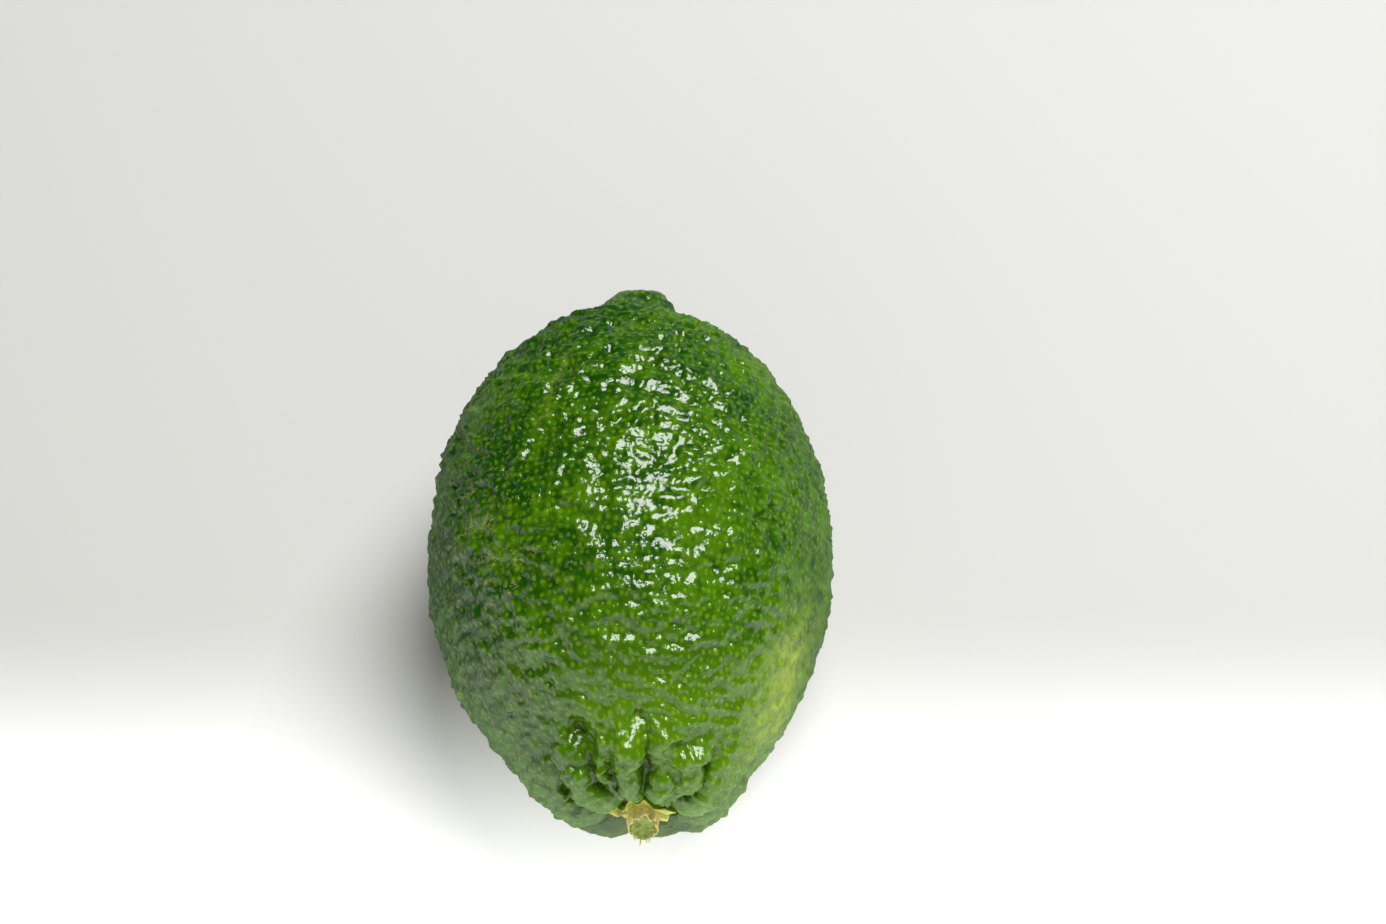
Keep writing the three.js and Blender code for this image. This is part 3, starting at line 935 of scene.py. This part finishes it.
def makeFibres(material):  # torn pale threads along the lower rim of the cut
    chance = Random(stem["seed"])
    form = bmesh.new()
    sides = stem["fibreSides"]
    shortest, longest = stem["fibreLength"]
    for i in range(stem["fibres"]):
        angle = radians(105 + 150 * (i + 0.3 + 0.5 * chance.random()) / stem["fibres"])
        far = stem["coreRadius"] * (0.86 + 0.14 * chance.random())
        reach = (stem["coreTop"] + stem["coreBottom"]) / 2
        reach -= (stem["coreBottom"] - stem["coreTop"]) / 2 * cos(angle)
        root = Vector((stubMiddle.x + far * sin(angle), stubHigh.y - reach + stem["fibreRoot"],
                       stubMiddle.z + far * cos(angle)))
        length = shortest + (longest - shortest) * chance.random()
        way = Vector((0.5 * (chance.random() - 0.5), -1, -0.35 * chance.random())).normalized()
        rows = []
        for step in range(stem["fibreRows"] + 1):
            share = step / stem["fibreRows"]
            middle = root + way * (length + stem["fibreRoot"]) * share
            middle.x += 0.08 * mm * share ** 2 * (chance.random() - 0.5)
            width = stem["fibreRadius"] * (1.15 - 0.75 * share)
            turns = [2 * pi * k / sides for k in range(sides)]
            rows.append([form.verts.new(middle + Vector((width * cos(turn), 0, width * sin(turn))))
                         for turn in turns])
        for first, second in zip(rows, rows[1:]):
            for k in range(sides):
                after = (k + 1) % sides
                form.faces.new((first[k], first[after], second[after], second[k]))
        form.faces.new(rows[0])
        form.faces.new(rows[-1][::-1])
    return makePiece("stem_fibres", form, material)


endLook = {
    "calyxRim": colour(192, 198, 84),
    "calyxBody": colour(158, 160, 60),
    "calyxDry": colour(120, 88, 36),
    "bark": colour(232, 210, 134),
    "barkDark": colour(172, 120, 56),
    "barkGreen": colour(150, 150, 60),
    "core": colour(150, 172, 70),
    "coreDark": colour(114, 132, 44),
    "corePale": colour(176, 190, 110),
    "fibre": colour(240, 232, 170),
    "calyxRoughness": 0.6,
    "barkRoughness": 0.62,
    "coreRoughness": 0.5,
    "fibreRoughness": 0.6,
    "softWeight": 0.08,
    "softRadius": (1.0, 0.8, 0.3),
    "softDepth": 0.4 * mm,
}


def dryFinish(shader, roughness):
    shader.inputs["Roughness"].default_value = roughness
    shader.inputs["Subsurface Weight"].default_value = endLook["softWeight"]
    shader.inputs["Subsurface Radius"].default_value = endLook["softRadius"]
    shader.inputs["Subsurface Scale"].default_value = endLook["softDepth"]


def calyxMaterial():
    material, tree, shader = newMaterial("dryCalyx")
    perMm = perMillimetre(tree)
    rim = addNode(tree, "ShaderNodeAttribute", attribute_name="rim").outputs["Fac"]
    blotch = softNoise(tree, perMm, 1.1, 3.0)
    edge = calc(tree, "ADD", rim, calc(tree, "MULTIPLY", blotch, 0.35))
    edge = slide(tree, edge, 0.35, 0.85)
    base = blendColour(tree, edge, endLook["calyxBody"], endLook["calyxRim"])
    dry = slide(tree, softNoise(tree, perMm, 0.8, 2.0), 0.05, 0.35)
    dry = product(tree, dry, slide(tree, rim, 0.9, 0.4))
    base = blendColour(tree, dry, base, endLook["calyxDry"])
    feed(tree, shader.inputs["Base Color"], base)
    grain(tree, shader, softNoise(tree, perMm, 4.0, 3.0), 0.06 * mm)
    dryFinish(shader, endLook["calyxRoughness"])
    return material


def barkMaterial():
    material, tree, shader = newMaterial("tanStemBark")
    perMm = perMillimetre(tree)
    streaked = addNode(tree, "ShaderNodeMapping", {  # drawn out along the stem
        "Vector": perMm, "Scale": (1.0, 0.3, 1.0),
    }).outputs[0]
    streak = softNoise(tree, streaked, 2.6, 3.0)
    blotch = softNoise(tree, perMm, 0.9, 2.0)
    dark = slide(tree, streak, 0.05, 0.5, 0.0, 0.6)
    base = blendColour(tree, dark, endLook["bark"], endLook["barkDark"])
    base = blendColour(tree, slide(tree, blotch, 0.18, 0.4, 0.0, 0.8), base, endLook["barkDark"])
    base = blendColour(tree, slide(tree, blotch, -0.15, -0.4, 0.0, 0.6), base, endLook["barkGreen"])
    feed(tree, shader.inputs["Base Color"], base)
    grain(tree, shader, calc(tree, "ADD", streak, softNoise(tree, perMm, 5.0, 2.0)), 0.07 * mm)
    dryFinish(shader, endLook["barkRoughness"])
    return material


def coreMaterial():
    material, tree, shader = newMaterial("greenStemCore")
    perMm = perMillimetre(tree)
    blotch = softNoise(tree, perMm, 1.3, 2.0)
    pores = slide(tree, cells(tree, perMm, 4.5), 0.1, 0.45, 1.0, 0.0)
    base = blendColour(tree, slide(tree, blotch, -0.3, 0.3), endLook["coreDark"], endLook["core"])
    base = blendColour(tree, calc(tree, "MULTIPLY", pores, 0.35), base, endLook["corePale"])
    feed(tree, shader.inputs["Base Color"], base)
    height = calc(tree, "MULTIPLY_ADD", pores, -0.6, softNoise(tree, perMm, 3.5, 2.0))
    grain(tree, shader, height, 0.06 * mm)
    dryFinish(shader, endLook["coreRoughness"])
    return material


def fibreMaterial():
    material, tree, shader = newMaterial("paleStemFibre")
    perMm = perMillimetre(tree)
    shade = slide(tree, softNoise(tree, perMm, 3.0, 2.0), -0.3, 0.3, 0.0, 0.4)
    base = blendColour(tree, shade, endLook["fibre"], endLook["bark"])
    feed(tree, shader.inputs["Base Color"], base)
    dryFinish(shader, endLook["fibreRoughness"])
    return material


studio = {
    "tableSize": 3.0,
    "tableColour": colour(189, 189, 186),
    "tableRoughness": 0.6,
    "tableGlow": 1.4,  # well in front of the fruit
    "glowRange": (-0.056, 0.004),  # along the table, where the glow is whole and gone
    "lampWay": (0.276, 0.375, 0.885),  # from the fruit towards the lamp
    "lampDistance": 0.9,
    "lampSize": (0.52, 0.72),
    "lampPower": 12.6,
    "tableWay": (-0.12, -0.62, -0.775),  # the side that the white table fills
    "tableLight": 1.4,
    "tableRange": (-0.11, 0.15),  # cosines, where its light starts and is whole
    "roomLight": 0.03,
    "farLight": 0.3,  # from beyond the fruit
    "farRange": (0.0, 0.7),
    "roomTint": (1.0, 1.0, 0.88, 1),
}
view = {
    "elevation": 66,  # degrees above the table
    "distance": 0.42,
    "lens": 88.4,  # millimetres, on a sensor 36 mm wide
    "sensor": 36,
    "right": 7.9 * mm,  # the camera stands this far to the right of the fruit's middle
    "up": 11.8 * mm,  # and this far above it, across its own view
}


def makeTable():
    mesh = bpy.data.meshes.new("table")
    half = studio["tableSize"] / 2
    corners = [(-half, -half, 0), (half, -half, 0), (half, half, 0), (-half, half, 0)]
    mesh.from_pydata(corners, [], [(0, 1, 2, 3)])
    table = bpy.data.objects.new("table", mesh)
    bpy.context.collection.objects.link(table)
    material, tree, shader = newMaterial("whiteTable")
    shader.inputs["Base Color"].default_value = studio["tableColour"]
    shader.inputs["Roughness"].default_value = studio["tableRoughness"]
    position = addNode(tree, "ShaderNodeTexCoord").outputs["Object"]
    glow = slide(tree, splitAxes(tree, position)[1], *studio["glowRange"], studio["tableGlow"], 0.0)
    shader.inputs["Emission Color"].default_value = colour(255, 255, 255)
    feed(tree, shader.inputs["Emission Strength"], glow)
    mesh.materials.append(material)
    return table


def makeLight():
    lamp = bpy.data.lights.new("softLamp", "AREA")
    lamp.shape = "ELLIPSE"
    lamp.size, lamp.size_y = studio["lampSize"]
    lamp.energy = studio["lampPower"]
    light = bpy.data.objects.new("softLamp", lamp)
    way = Vector(studio["lampWay"]).normalized()
    light.location = ringCentre + way * studio["lampDistance"]
    light.rotation_euler = way.to_track_quat("Z", "Y").to_euler()
    bpy.context.collection.objects.link(light)

    world = bpy.data.worlds.new("studioRoom")
    bpy.context.scene.world = world
    world.use_nodes = True
    tree = world.node_tree
    tree.nodes.clear()
    ray = addNode(tree, "ShaderNodeTexCoord").outputs["Generated"]
    tilt = radians(view["elevation"])
    towardsTable = arrow(tree, "DOT_PRODUCT", ray, studio["tableWay"])
    behind = arrow(tree, "DOT_PRODUCT", ray, (0.0, cos(tilt), -sin(tilt)))
    room = slide(tree, behind, *studio["farRange"], studio["roomLight"], studio["farLight"])
    share = slide(tree, towardsTable, *studio["tableRange"])
    strength = calc(tree, "ADD", calc(tree, "MULTIPLY", room, calc(tree, "SUBTRACT", 1.0, share)),
                    calc(tree, "MULTIPLY", share, studio["tableLight"]))
    background = addNode(tree, "ShaderNodeBackground", {
        "Color": studio["roomTint"], "Strength": strength,
    })
    addNode(tree, "ShaderNodeOutputWorld", {"Surface": background.outputs[0]})


def makeCamera():
    tilt = radians(view["elevation"])
    forward = Vector((0, cos(tilt), -sin(tilt)))
    upward = Vector((0, sin(tilt), cos(tilt)))
    camera = bpy.data.cameras.new("camera")
    camera.lens = view["lens"]
    camera.sensor_width = view["sensor"]
    camera.clip_start = 0.01
    holder = bpy.data.objects.new("camera", camera)
    holder.location = ringCentre - forward * view["distance"] + upward * view["up"]
    holder.location.x += view["right"]
    holder.rotation_euler = (pi / 2 - tilt, 0, 0)
    bpy.context.collection.objects.link(holder)
    bpy.context.scene.camera = holder


makeCamera()
makeLight()
makeTable()
print("studio: camera, lamp and table")

peel = makeFruit(peelMaterial())
collar = makeCalyx(peel, calyxMaterial())
bark = makeBark(barkMaterial())
core = makeCore(coreMaterial())
fibres = makeFibres(fibreMaterial())
print("stem: bark, core and fibres")

for piece, node, slot in ((peel, "fruit", "peel"), (collar, "calyx", "calyx"),
                          (bark, "stem_stub", "stem"), (core, "stem_stub", "stem"),
                          (fibres, "stem_stub", "stem")):
    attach(piece, "root")
    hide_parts(node)

bpy.context.scene.view_settings.view_transform = "Standard"
bpy.context.scene.view_settings.look = "None"
